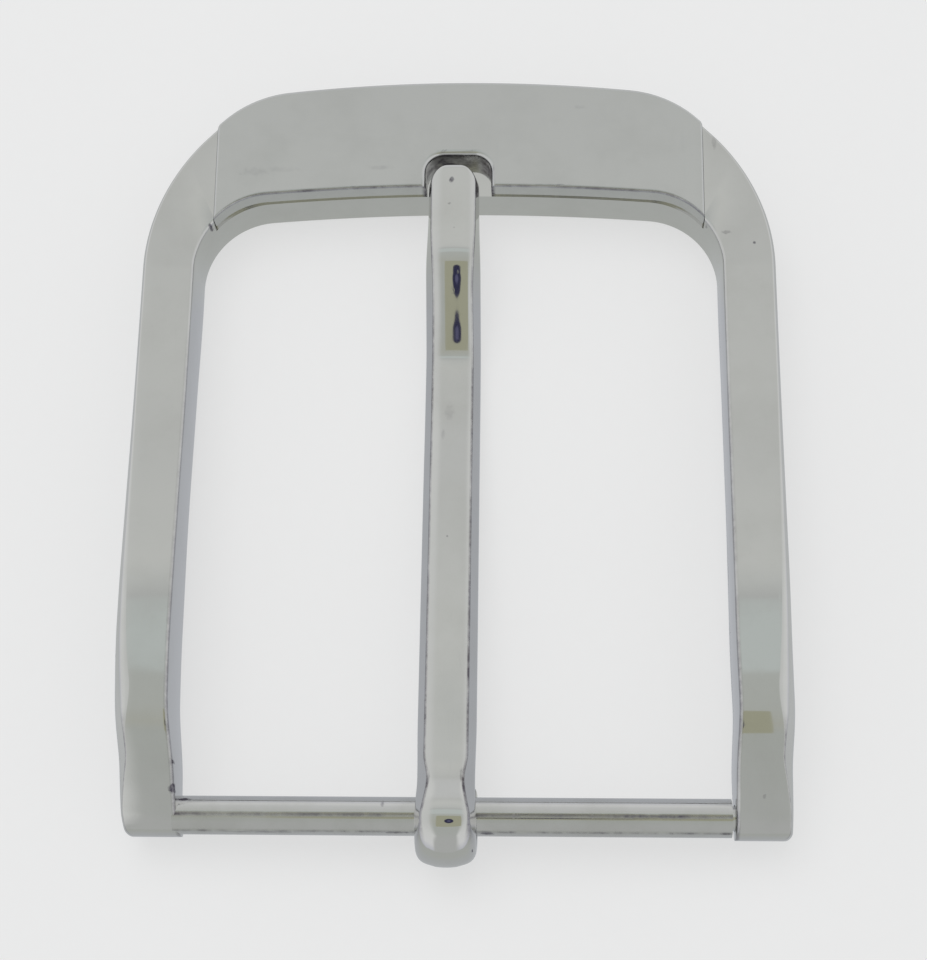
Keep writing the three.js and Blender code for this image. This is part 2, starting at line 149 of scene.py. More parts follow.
# %% A fair curve through a few heights
def smooth(rows, x):
    if x <= rows[0][0]:
        return rows[0][1]
    if x >= rows[-1][0]:
        return rows[-1][1]

    def slope(i):
        if i == 0 or i == len(rows) - 1:
            return 0.0
        before = (rows[i][1] - rows[i - 1][1]) / (rows[i][0] - rows[i - 1][0])
        after = (rows[i + 1][1] - rows[i][1]) / (rows[i + 1][0] - rows[i][0])
        return 0.0 if before * after <= 0 else 2 * before * after / (before + after)

    i = next(k for k, row in enumerate(rows) if row[0] > x) - 1
    (x0, a), (x1, b) = rows[i], rows[i + 1]
    span = x1 - x0
    t = (x - x0) / span
    bend = t * (1 - t) ** 2 * span * slope(i) + t * t * (t - 1) * span * slope(i + 1)
    return a + (b - a) * t * t * (3 - 2 * t) + bend


# %% Round the corners of a section
def ease(corners, steps=4):
    """corners are (across, up, radius, dirt_and_shade). A radius of 0 keeps a single point. The
    last value paints the rounding darker, most at its middle.
    """
    points = []
    count = len(corners)
    for i, (px, py, radius, dirt_and_shade) in enumerate(corners):
        if radius == 0:
            points.append((px, py, dirt_and_shade))
            continue
        corner = np.array((px, py))
        reach = radius
        arms = []
        for other in (corners[i - 1], corners[(i + 1) % count]):
            arm = np.array(other[:2]) - corner
            length = np.linalg.norm(arm)
            reach = min(reach, 0.96 * length * radius / (radius + other[2]))
            arms.append(arm / length)
        start, end = corner + arms[0] * reach, corner + arms[1] * reach
        for k in range(steps + 1):
            t = k / steps
            bend = (1 - t) ** 2 * start + 2 * t * (1 - t) * corner + t * t * end
            points.append((*bend, dirt_and_shade * 4 * t * (1 - t)))
    return points


# %% Stretch a skin over sections
def skin(name, sections, sharp=34):
    """Sections are lists of (x, y, z, dirt_and_shade) in mm from the bar's axis, all of one length.
    """
    count = len(sections[0])
    points = np.array(sections, float).reshape(-1, 4)
    faces = []
    for s in range(len(sections) - 1):
        for i in range(count):
            j = (i + 1) % count
            a, b = s * count, (s + 1) * count
            faces.append((a + i, a + j, b + j, b + i))
    last = (len(sections) - 1) * count
    faces.append(tuple(reversed(range(count))))
    faces.append(tuple(range(last, last + count)))
    mesh = bpy.data.meshes.new(name)
    mesh.from_pydata((points[:, :3] * MM + np.array((0, hinge.y, 0))).tolist(), [], faces)
    mesh.attributes.new("dirt_and_shade", "FLOAT", "POINT").data.foreach_set("value", points[:, 3])
    piece = bpy.data.objects.new(name, mesh)
    bpy.context.scene.collection.objects.link(piece)
    tidy_faces(piece, sharp)
    return piece


def tidy_faces(piece, sharp=34):
    """Faces out, doubled points merged, smooth shading with sharp creases kept."""
    bm = bmesh.new()
    bm.from_mesh(piece.data)
    bmesh.ops.remove_doubles(bm, verts=bm.verts, dist=1e-7)
    bmesh.ops.recalc_face_normals(bm, faces=bm.faces)
    bm.to_mesh(piece.data)
    bm.free()
    piece.data.shade_smooth()
    piece.data.set_sharp_from_angle(angle=math.radians(sharp))


# %% Cut one solid from another
def cut(piece, cutter, sharp=34):
    modifier = piece.modifiers.new("cut", "BOOLEAN")
    modifier.operation = "DIFFERENCE"
    modifier.solver = "EXACT"
    modifier.object = cutter
    bpy.context.view_layer.update()
    graph = bpy.context.evaluated_depsgraph_get()
    result = bpy.data.meshes.new_from_object(piece.evaluated_get(graph))
    piece.modifiers.clear()
    piece.data = result
    bpy.data.objects.remove(cutter)
    tidy_faces(piece, sharp)


def block(low, high):
    """A rectangular cutter between two corners, in mm from the bar's axis."""
    (x0, y0, z0), (x1, y1, z1) = low, high
    ring = [(y0, z0), (y1, z0), (y1, z1), (y0, z1)]
    return skin("cutter", [[(x, y, z, 0) for y, z in ring] for x in (x0, x1)])


# %% [markdown]
# ## The outline
#
# Seen from the front, half of the buckle is a straight side rail, a corner made of two
# arcs with a short flat between them, and a head with a very slight bow. The inner and
# outer edges are the same recipe with different radii, so one function draws both.


# %% Half of the U in plan
def outline(half, top, bow, bow_half, head_arc, side_arc):
    """t is 0 to 1 up the side rail, 1 to 2 round the corner, 2 to 3 to the middle."""
    turn, eighth, diagonal = math.asin(bow_half / bow), math.pi / 4, math.sqrt(0.5)
    join = (bow * math.sin(turn), top - bow * (1 - math.cos(turn)))
    upper = (
        join[0] + head_arc * (diagonal - math.sin(turn)),
        join[1] - head_arc * (math.cos(turn) - diagonal),
    )
    flat = (half - upper[0] - side_arc * (1 - diagonal)) / diagonal
    lower = (upper[0] + flat * diagonal, upper[1] - flat * diagonal)
    spring = lower[1] - side_arc * diagonal
    first, second = side_arc * eighth, flat
    total = first + second + head_arc * (eighth - turn)

    def point(t):
        if t <= 1:
            return np.array((half, -FOOT_END + (spring + FOOT_END) * t))
        if t > 2:
            a = turn * (3 - t)
            return np.array((bow * math.sin(a), top - bow * (1 - math.cos(a))))
        along = (t - 1) * total
        if along < first:
            a = along / side_arc
            return np.array((half - side_arc * (1 - math.cos(a)), spring + side_arc * math.sin(a)))
        along -= first
        if along < second:
            return np.array((lower[0] - along * diagonal, lower[1] + along * diagonal))
        a = eighth + (along - second) / head_arc
        return np.array((
            upper[0] - head_arc * (diagonal - math.cos(a)),
            upper[1] + head_arc * (math.sin(a) - diagonal),
        ))

    return point


outer_edge = outline(HALF_OUTER, LENGTH, HEAD_BOW, HEAD_BOW_HALF, CORNER_HEAD, CORNER_SIDE)
inner_edge = outline(
    HALF_INNER, HEAD_INNER, HEAD_BOW_INNER, HEAD_BOW_INNER_HALF, CORNER_INNER, CORNER_INNER
)
print("outer corner starts at", outer_edge(1).round(2), "inner at", inner_edge(1).round(2))

# %% [markdown]
# ## The frame casting
#
# From the side the rails rise to a crest just above the heel and fall steeply to the
# feet. A bevel runs along the outer edge; it is widest at the crest and closes to a
# crease below it, where the polishing wheel has broken through. Each of these is a short
# list of heights along the rail, and each section of the rail is drawn from them.

# %% Heights and bevels along the rails
rise, foot_rise = CREST_TOP - SHOULDER_TOP, CREST_TOP - FOOT_TOP
FOOT_SLOPE = 0.42
FRONT = [
    (-2 * FOOT_END, FOOT_TOP - 2 * FOOT_END * FOOT_SLOPE),
    (0, FOOT_TOP),
    (CREST_Y * 0.24, FOOT_TOP + foot_rise * 0.41),
    (CREST_Y * 0.54, FOOT_TOP + foot_rise * 0.84),
    (CREST_Y * 0.65, FOOT_TOP + foot_rise * 0.95),
    (CREST_Y * 0.77, FOOT_TOP + foot_rise * 0.99),
    (CREST_Y, CREST_TOP),
    (CREST_Y + 5, SHOULDER_TOP + rise * 0.92),
    (CREST_Y + 12, SHOULDER_TOP + rise * 0.66),
    (CREST_Y + 20, SHOULDER_TOP + rise * 0.34),
    (HEAD_START, SHOULDER_TOP + 0.27),
    (HEAD_INNER + 2, SHOULDER_TOP),
]
BACK = [(CREST_Y + 9, BACK_LIFT), (CREST_Y + 20, BACK_LIFT * 0.5), (HEAD_START - 1, 0)]
BEVEL_DROP = [
    (0, 0.3), (2, 0.55), (3.8, 0.9), (6.5, 1), (9.5, 0.75), (12, 0.55), (16, 0.42), (24, 0.34),
    (30, 0.3),
]
BEVEL_INSET = [
    (0, 0.2), (2, 0.42), (3.8, 0.68), (6.5, 0.66), (9.5, 0.5), (12, 0.4), (16, 0.33),
    (24, 0.26), (30, 0.22),
]
CREASE = [(0, 0.05), (4.5, 0.1), (8, 0.6), (14, 0.5), (20, 0.25), (30, 0.14)]
CREASE_DARKENING = [(0, 0.5), (4.5, 0.8), (6.5, 0)]
INNER_EDGE_DARKENING = [(0, 0.65), (12, 0.5), (26, 0.35), (HEAD_START, 0.12)]


# %% One section of the rail
FOOT_CORNER = 0.45
RIGHT, LEFT = 1, -1
SKEW = {
    RIGHT: [(0, 0.22), (5, 0.14), (12, 0)],
    LEFT: [(-1.3, 0.46), (0, 0.3), (5, 0.14), (12, 0)],
}


def rail_section(t, side):
    """side is RIGHT or LEFT. Both feet lean a little right, the left one more at its end."""
    outer, inner = outer_edge(t), inner_edge(t)
    y = outer[1]
    toe = smooth([(TOE_IN_FLAT, TOE_IN), (TOE_IN_START, 0)], y) - side * smooth(SKEW[side], y)
    corner = max(0.0, -y - (FOOT_END - FOOT_CORNER))
    corner = FOOT_CORNER - math.sqrt(max(0.0, FOOT_CORNER**2 - corner**2))
    outer = outer - (toe + corner, 0)
    inner = inner - (toe, 0)
    past = max(0.0, -y - (FOOT_END - FOOT_ROUND))
    fall = FOOT_ROUND - math.sqrt(max(0.0, FOOT_ROUND**2 - past**2))
    front, back = smooth(FRONT, y) - fall, smooth(BACK, y) + fall
    drop, inset = smooth(BEVEL_DROP, y), smooth(BEVEL_INSET, y)
    span = outer - inner
    width = float(np.linalg.norm(span))
    across = span / width
    lean = HEAD_DRAFT * min(1.0, max(0.0, (t - 1.2) / 0.8))
    # The inner top edge and the bevel crease are drawn darker along their rounding, by amounts set
    # along the rail.
    ring = ease([
        (0, back, 0.15, 0),
        (lean, front, 0.3, smooth(INNER_EDGE_DARKENING, y)),
        (width - inset, front, smooth(CREASE, y), smooth(CREASE_DARKENING, y)),
        (width, front - drop, 0.4, 0),
        (width, back, 0.25, 0),
    ], 5)
    return [(*(inner + across * a), z, dirt_and_shade) for a, z, dirt_and_shade in ring]


# %% Skin of the casting
FOOT_STEPS, SIDE_STEPS, CORNER_STEPS, HEAD_STEPS = 10, 150, 60, 30
side_length = outer_edge(1)[1] + FOOT_END
stations = [
    FOOT_ROUND * (1 - math.cos(math.pi / 2 * i / FOOT_STEPS)) / side_length
    for i in range(FOOT_STEPS)
]
first = FOOT_ROUND / side_length
stations += [first + (1 - first) * i / SIDE_STEPS for i in range(SIDE_STEPS + 1)]
stations += [1 + i / CORNER_STEPS for i in range(1, CORNER_STEPS + 1)]
stations += [2 + i / HEAD_STEPS for i in range(1, HEAD_STEPS + 1)]
right_rail = [rail_section(t, RIGHT) for t in stations]
left_rail = [
    [(-x, *rest) for x, *rest in rail_section(t, LEFT)] for t in reversed(stations[:-1])
]
frame_casting = skin("frame_casting", right_rail + left_rail)
print("casting skin:", len(frame_casting.data.polygons), "faces")

# %% [markdown]
# The recess for the plate is cut across the head, and a blind hole into each foot takes
# the bar. The recess is a hair wider than the plate, which leaves the fine dark seam
# that crosses the head at both ends.

# %% Cut the recess and the sockets
SEAM = 0.02
SOCKET_RADIUS = 0.86
SOCKET_END = 0.15


def round_rod(name, rows, sides=64):
    """A turned rod along X from rows of (x, radius), at the bar's height."""
    rings = []
    for x, radius in rows:
        ring = [2 * math.pi * k / sides for k in range(sides)]
        rings.append([(x, radius * math.cos(a), BAR_Z + radius * math.sin(a), 0) for a in ring])
    return skin(name, rings)


cut(frame_casting, block(
    (-PLATE_HALF - SEAM, HEAD_START - 2, RAIL_TOP), (PLATE_HALF + SEAM, LENGTH + 2, CREST_TOP + 1)
))
socket_reach = BAR_REACH + SOCKET_END
socket_ends = [(-socket_reach, SOCKET_RADIUS), (socket_reach, SOCKET_RADIUS)]
cut(frame_casting, round_rod("cutter", socket_ends))
print("casting after cutting:", len(frame_casting.data.polygons), "faces")

# %% [markdown]
# ## The head plate
#
# The plate is the head's own outline between two straight seams. Its sections are taken
# across the head, one for each place along it, so its ends can round over by shrinking
# the last few sections. The notch is cut with the prong's tip in mind, and a second,
# flaring cutter breaks its edge.


# %% Skin of the plate
def edge_at(edge, x):
    table = np.array([edge(1 + k / 400) for k in range(801)])[::-1]
    return float(np.interp(abs(x), table[:, 0], table[:, 1]))


PLATE_ROUND = 0.16
PLATE_EDGE = 0.2
PLATE_ROWS = 28


def plate_section(x):
    past = max(0.0, abs(x) - (PLATE_HALF - PLATE_ROUND))
    shrink = PLATE_ROUND - math.sqrt(max(0.0, PLATE_ROUND**2 - past**2))
    near = edge_at(inner_edge, x) + HEAD_DRAFT + shrink * 0.6
    far = edge_at(outer_edge, x) - shrink
    top = PLATE_TOP - shrink
    across = [(near + (far - near) * k / PLATE_ROWS, top, 0, 0) for k in range(1, PLATE_ROWS)]
    # The plate's inner top edge gets a painted shade line along its rounding.
    ring = ease([
        (near, RAIL_TOP, 0.02, 0), (near, top, PLATE_EDGE, 0.9), *across,
        (far, top, PLATE_EDGE, 0), (far, RAIL_TOP, 0.02, 0),
    ], 5)
    return [(x, *rest) for rest in ring]


END_STEPS, PLATE_STEPS = 8, 150
ends = [
    PLATE_HALF - PLATE_ROUND * (1 - math.sin(math.pi / 2 * i / END_STEPS))
    for i in range(END_STEPS, 0, -1)
]
middle = list(np.linspace(PLATE_HALF - PLATE_ROUND, -PLATE_HALF + PLATE_ROUND, PLATE_STEPS))
places = ends + middle + [-x for x in reversed(ends)]
head_plate_skin = skin("head_plate_skin", [plate_section(x) for x in places])
print("plate skin:", len(head_plate_skin.data.polygons), "faces")

# %% Cut the notch and break its edge
NOTCH_WIDTH = 4.6
NOTCH_DEPTH = 2.4
NOTCH_CORNER = 1.3
NOTCH_BREAK = 0.3
ARC_STEPS = 16


# The notch cutters carry painted shade into the walls they cut: dark on the walls, fading out up
# the flared break.
def notch_ring(grow, z, dirt_and_shade=0.9):
    half, radius = NOTCH_WIDTH / 2 + grow, NOTCH_CORNER + grow
    back = HEAD_INNER + HEAD_DRAFT + NOTCH_DEPTH + grow
    ring = [(half, HEAD_INNER - 3, z, dirt_and_shade)]
    for side, start in ((1, 0.0), (-1, 0.5)):
        for k in range(ARC_STEPS + 1):
            a = math.pi * (start + 0.5 * k / ARC_STEPS)
            centre = (side * (half - radius), back - radius)
            x, y = centre[0] + radius * math.cos(a), centre[1] + radius * math.sin(a)
            ring.append((x, y, z, dirt_and_shade))
    ring.append((-half, HEAD_INNER - 3, z, dirt_and_shade))
    return ring


cut(head_plate_skin, skin("cutter", [notch_ring(0, RAIL_TOP - 1), notch_ring(0, PLATE_TOP + 1)]))
flare = [
    notch_ring(NOTCH_BREAK * (1 - math.cos(math.pi / 2 * k / 4)),
               PLATE_TOP - NOTCH_BREAK * (1 - math.sin(math.pi / 2 * k / 4)), 0.6 - 0.15 * k)
    for k in range(5)
]
flare.append(notch_ring(NOTCH_BREAK, PLATE_TOP + 1, 0))
cut(head_plate_skin, skin("cutter", flare))

# %% [markdown]
# Painted shade darkens the notch walls, which stand in shade and mirror dark things, and a
# fainter trace of it lies on the plate's inner edge. The mesh carries how dark each place is
# painted.

# %% Paint shade in the notch
NEAR = 0.1
NOTCH_BEND = 1.5
NOTCH_SHADE = 1.5
EDGE_SHADE = 0.08


def paint_shade(piece, rule):
    """Raise the painted darkening of each vertex to what rule(x, y, z) says, in mm from the bar's
    axis.
    """
    dirt_and_shade = piece.data.attributes["dirt_and_shade"].data
    for vertex in piece.data.vertices:
        x, y, z = (vertex.co - Vector((0, hinge.y, 0))) / MM
        dirt_and_shade[vertex.index].value = max(dirt_and_shade[vertex.index].value, rule(x, y, z))


# Painted shade: the notch walls are drawn dark, and the plate's inner wall a little darker.
def notch_shade(x, y, z):
    off_wall = abs(abs(x) - NOTCH_WIDTH / 2)
    beside = off_wall < NEAR or y > HEAD_INNER + NOTCH_BEND
    inside = abs(x) < NOTCH_WIDTH / 2 + NEAR and y < HEAD_INNER + HEAD_DRAFT + NOTCH_DEPTH + NEAR
    if inside and beside and z < PLATE_TOP - NEAR:
        return NOTCH_SHADE
    edge = y < HEAD_INNER + HEAD_DRAFT + NEAR and z < PLATE_TOP - 1.5 * NEAR
    return EDGE_SHADE if edge else 0.0


paint_shade(head_plate_skin, notch_shade)
shaded_points = [row.value > 0 for row in head_plate_skin.data.attributes["dirt_and_shade"].data]
print("plate after cutting:", len(shaded_points), "points,", sum(shaded_points), "with residue")

# %% [markdown]
# ## The heel bar
#
# The bar is plain round stock with smaller ends that go into the feet. It was cast in a
# two-part mould, and the mould's parting line was never fully cleaned off its heel side.
# That line is a slight, uneven ridge, so the radius is lifted there by a little noise.
# A shallow scar runs along the front of the bar, and polishing residue has stayed in it.

# %% Skin of the bar
BAR_END_RADIUS = 0.8
BAR_END_CHAMFER = 0.2
RIDGE_ANGLE = math.radians(147)
SCAR_ANGLE = math.radians(92)
SCAR_WIDTH = math.radians(5)
RIDGE_WIDTH = math.radians(5)
RIDGE_HEIGHT = 0.035
BAR_SIDES = 120
BAR_STEPS = 300
rng = np.random.default_rng(7)
ridge = np.convolve(rng.random(BAR_STEPS + 1), np.ones(5) / 5, "same")
scars = np.clip(np.convolve(rng.random(BAR_STEPS + 1), np.ones(9) / 9, "same") * 5 - 0.9, 0, 1)


def bar_ring(x, radius, lift=0.0, scar=0.0):
    ring = []
    for k in range(BAR_SIDES):
        a = 2 * math.pi * k / BAR_SIDES
        ridge_here = math.exp(-(((a - RIDGE_ANGLE) / RIDGE_WIDTH) ** 2))
        scar_here = math.exp(-(((a - SCAR_ANGLE) / SCAR_WIDTH) ** 2))
        r = radius + lift * ridge_here - 0.02 * scar * scar_here
        dirt_and_shade = min(1.0, ridge_here * max(0.0, lift) * 60 + 1.5 * scar * scar_here)
        ring.append((x, r * math.cos(a), BAR_Z + r * math.sin(a), dirt_and_shade))
    return ring


end_rows = [
    (HALF_FEET, BAR_END_RADIUS),
    (BAR_REACH - BAR_END_CHAMFER, BAR_END_RADIUS),
    (BAR_REACH, BAR_END_RADIUS - BAR_END_CHAMFER),
]
rings = [bar_ring(-x, r) for x, r in reversed(end_rows)]
for k, x in enumerate(np.linspace(-HALF_FEET, HALF_FEET, BAR_STEPS + 1)):
    lift = RIDGE_HEIGHT * (ridge[k] - 0.25)
    rings.append(bar_ring(x, BAR_RADIUS - RIDGE_HEIGHT * 0.3, lift, scars[k]))
rings += [bar_ring(x, r) for x, r in end_rows]
heel_bar_skin = skin("heel_bar_skin", rings, 50)
print("bar skin:", len(heel_bar_skin.data.polygons), "faces")

# %% [markdown]
# ## The prong
#
# The prong is a strip with sloping sides. Its tail is bent round the bar into an open
# loop. From the loop it dips through a pinched waist, runs down the shaft, climbs a ramp
# and lies flat on the ledge in the notch. One function draws a section of the strip, and
# the loop and the shaft place it along their own path.

# %% Sizes of the prong
EYE_PLAY = 0.35
EYE_HANG = 0.28
LOOP_WALL = 1.35
LOOP_TAIL_WALL = 1.05
LOOP_TAIL_ANGLE = 352
PRONG_WIDTH = 3.84
PRONG_FACE = 2.8
PRONG_THICK = 1.7
TIP_FACE = 3.1
TIP_TOP = 4.8
TIP_NOSE = 1.4
TIP_REST = 0.02
TIP_FLAT = 6.3
RAMP_LENGTH = 7.2
RAMP_RISE = 2.47
DIP_TOP = TIP_TOP - RAMP_RISE
WAIST_Y = 2.2
WAIST_FACE = 2.3
RAMP_END = PRONG_LENGTH - TIP_FLAT
DIP_Y = RAMP_END - RAMP_LENGTH
EYE_RADIUS = BAR_RADIUS + EYE_PLAY
LOOP_TOP = BAR_Z + EYE_RADIUS + LOOP_WALL
RAMP = [
    (0, 0), (0.083, 0.044), (0.25, 0.209), (0.39, 0.376), (0.6, 0.645), (0.76, 0.836),
    (0.9, 0.971), (1, 1),
]
PRONG_TOP = [
    (-EYE_HANG, LOOP_TOP),
    (0.7, LOOP_TOP - 0.1),
    (WAIST_Y, LOOP_TOP - 0.55),
    (WAIST_Y + 1.8, LOOP_TOP - 0.8),
    (10, LOOP_TOP - 1.45),
    (DIP_Y - 10, DIP_TOP + 1.0),
    (DIP_Y - 3, DIP_TOP + 0.14),
] + [(DIP_Y + RAMP_LENGTH * t, DIP_TOP + RAMP_RISE * h) for t, h in RAMP]
THICKNESS = [
    (-EYE_HANG, LOOP_WALL),
    (WAIST_Y, PRONG_THICK - 0.1),
    (6, PRONG_THICK),
    (DIP_Y, PRONG_THICK - 0.1),
    (RAMP_END, PRONG_THICK - 0.05),
    (RAMP_END + 2.4, TIP_TOP - RAIL_TOP - TIP_REST),
]
FACE = [
    (-EYE_HANG, 3.1),
    (0.8, PRONG_FACE - 0.1),
    (WAIST_Y, WAIST_FACE),
    (WAIST_Y + 1.6, PRONG_FACE),
    (DIP_Y, PRONG_FACE),
    (RAMP_END - 3, PRONG_FACE - 0.1),
    (RAMP_END + 2, TIP_FACE),
]
WIDTH = [
    (-EYE_HANG, LOOP_WIDTH),
    (WAIST_Y, PRONG_WIDTH - 0.12),
    (6, PRONG_WIDTH),
    (PRONG_LENGTH - 8, PRONG_WIDTH - 0.05),
    (PRONG_LENGTH - 3, TIP_FACE + 0.45),
]
print(f"ramp from {DIP_Y:.1f} to {RAMP_END:.1f}, tip ends at {PRONG_LENGTH:.1f}")


# %% One section of the strip
CROWN_RADIUS = 6.5
LOOP_CROWN_RADIUS = 4.6
CROWN_POINTS = 9


def strip(face, width, thick, place, soft=0.0, dirt_and_shade=0.0):
    """soft is 0 for crisp long edges and 1 for the round shoulders of the loop."""
    f, w = face / 2, width / 2
    low = lerp(0.3, 0.08, soft) * thick
    side, edge = lerp(0.2, 0.05, soft), lerp(0.15, 0.75, soft)
    crown_radius = lerp(CROWN_RADIUS, LOOP_CROWN_RADIUS, soft)
    sag = f * f / (2 * crown_radius)
    crown = []
    for k in range(CROWN_POINTS):
        a = f * lerp(0.75, 0.35, soft) * (1 - 2 * k / (CROWN_POINTS - 1))
        crown.append((a, thick - a * a / (2 * crown_radius), 0, 0))
    # The face's two long edges are drawn darker along their rounding.
    ring = ease([
        (w, 0, 0.12, 0), (w, low, side, 0), (f, thick - sag, edge, dirt_and_shade),
        *crown,
        (-f, thick - sag, edge, dirt_and_shade), (-w, low, side, 0), (-w, 0, 0.12, 0),
    ], 6)
    return [(*place(a, h), darkening_here) for a, h, darkening_here in ring]


def lerp(a, b, t):
    return a + (b - a) * t


def blend_step(x, start, end):
    t = min(1.0, max(0.0, (x - start) / (end - start)))
    return t * t * (3 - 2 * t)


# %% Loop sections
def loop_sections(steps=96):
    rings = []
    for i in range(steps + 1):
        share = i / steps
        degrees = lerp(LOOP_TAIL_ANGLE, 91, share)
        a = math.radians(degrees)
        tail = blend_step(degrees, 300, LOOP_TAIL_ANGLE)
        wall = lerp(LOOP_WALL, LOOP_TAIL_WALL, tail)
        face = lerp(LOOP_WIDTH - 0.1, 3.1, blend_step(degrees, 150, 91))
        soft = blend_step(degrees, 91, 140)

        def place(across, height):
            r = EYE_RADIUS + height
            return (PRONG_X + across, -EYE_HANG + math.cos(a) * r, BAR_Z + math.sin(a) * r)

        # The loop's flat edges are drawn darker, fading out on its round shoulders.
        rings.append(strip(face, LOOP_WIDTH, wall, place, soft, 0.9 * (1 - soft)))
    return rings


# %% Shaft and tip sections
TIP_ROUND = 0.3
# How much darker the prong's long edges are drawn, along its length.
PRONG_EDGE_DARKENING = [
    (-EYE_HANG, 0.9), (1.2, 1.2), (WAIST_Y, 1.6), (5, 1.2), (20, 0.9), (RAMP_END, 0.6),
    (PRONG_LENGTH - 2, 0.35),
]


def shaft_section(y):
    nose = max(0.0, y - (PRONG_LENGTH - TIP_NOSE)) / TIP_NOSE
    inward = TIP_NOSE * (1 - math.sqrt(max(0.0, 1 - nose * nose)))
    past = max(0.0, y - (PRONG_LENGTH - TIP_ROUND))
    fall = TIP_ROUND - math.sqrt(max(0.0, TIP_ROUND**2 - past**2))
    top, thick = smooth(PRONG_TOP, y), smooth(THICKNESS, y)
    base = top - thick

    def place(across, height):
        return (PRONG_X + across, y, base + height)

    face, width = smooth(FACE, y) - 2 * inward, smooth(WIDTH, y) - 2 * inward
    return strip(face, width, thick - fall, place, 0.0, smooth(PRONG_EDGE_DARKENING, y))


SHAFT_STEPS, NOSE_STEPS = 240, 16
nose_start = PRONG_LENGTH - TIP_NOSE
shaft = [lerp(-EYE_HANG, nose_start, (i / SHAFT_STEPS) ** 1.15) for i in range(SHAFT_STEPS + 1)]
nose = [
    nose_start + TIP_NOSE * math.sin(math.pi / 2 * i / NOSE_STEPS) for i in range(1, NOSE_STEPS + 1)
]
prong_strip = skin("prong_strip", loop_sections() + [shaft_section(y) for y in shaft + nose], 40)
print("prong skin:", len(prong_strip.data.polygons), "faces")

# %% [markdown]
# ## Tying the skins to the model
#
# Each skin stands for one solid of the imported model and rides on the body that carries
# it, so when the prong swings its skin swings too.

# %% Ride and replace
pieces = {
    "frame": (frame_casting, "buckle_frame"),
    "head_plate": (head_plate_skin, "buckle_frame"),
    "heel_bar": (heel_bar_skin, "buckle_frame"),
    "prong": (prong_strip, "prong"),
}
for node, (piece, body) in pieces.items():
    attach(piece, body)
    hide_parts(node)
print("pieces:", sorted(piece.name for piece, body in pieces.values()))

# %% [markdown]
# ## The finish
#
# Polished nickel is a mirror that has been handled. Up close it shows fine hairlines
# left by the wheel and by wear, a few tiny pits from the casting, and cloudy patches
# where it has dulled. One node group makes all of that from the metal's own position,
# and every material places it with its own strength.


# %% Helpers for nodes
def new_node(tree, kind, x, y, **settings):
    node = tree.nodes.new(kind)
    node.location = (x, y)
    for key, value in settings.items():
        setattr(node, key, value)
    return node


def ramp(tree, x, y, stops):
    node = new_node(tree, "ShaderNodeValToRGB", x, y)
    elements = node.color_ramp.elements
    elements[0].position, elements[0].color = stops[0][0], (*[stops[0][1]] * 3, 1)
    elements[1].position, elements[1].color = stops[-1][0], (*[stops[-1][1]] * 3, 1)
    for position, value in stops[1:-1]:
        elements.new(position).color = (value, value, value, 1)
    return node


def maths(tree, x, y, operation, a, b=None, clamp=False):
    node = new_node(tree, "ShaderNodeMath", x, y, operation=operation, use_clamp=clamp)
    for socket, value in ((0, a), (1, b)):
        if value is None:
            continue
        if isinstance(value, (int, float)):
            node.inputs[socket].default_value = value
        else:
            tree.links.new(value, node.inputs[socket])
    return node.outputs[0]


# %% A group for handled, polished metal
def noise(tree, x, y, where, scale, detail, roughness=0.5):
    node = new_node(tree, "ShaderNodeTexNoise", x, y)
    node.inputs["Scale"].default_value = scale
    node.inputs["Detail"].default_value = detail
    node.inputs["Roughness"].default_value = roughness
    tree.links.new(where, node.inputs["Vector"])
    return node.outputs["Fac"]


def shaped(tree, x, y, value, stops):
    node = ramp(tree, x, y, stops)
    tree.links.new(value, node.inputs["Fac"])
    return node.outputs[0]


# Each set of hairlines: angle in degrees, how far it is drawn out, how fine it is.
HAIRLINE_SETS = [(12, 26, 1300), (-38, 20, 1900), (81, 30, 1500)]


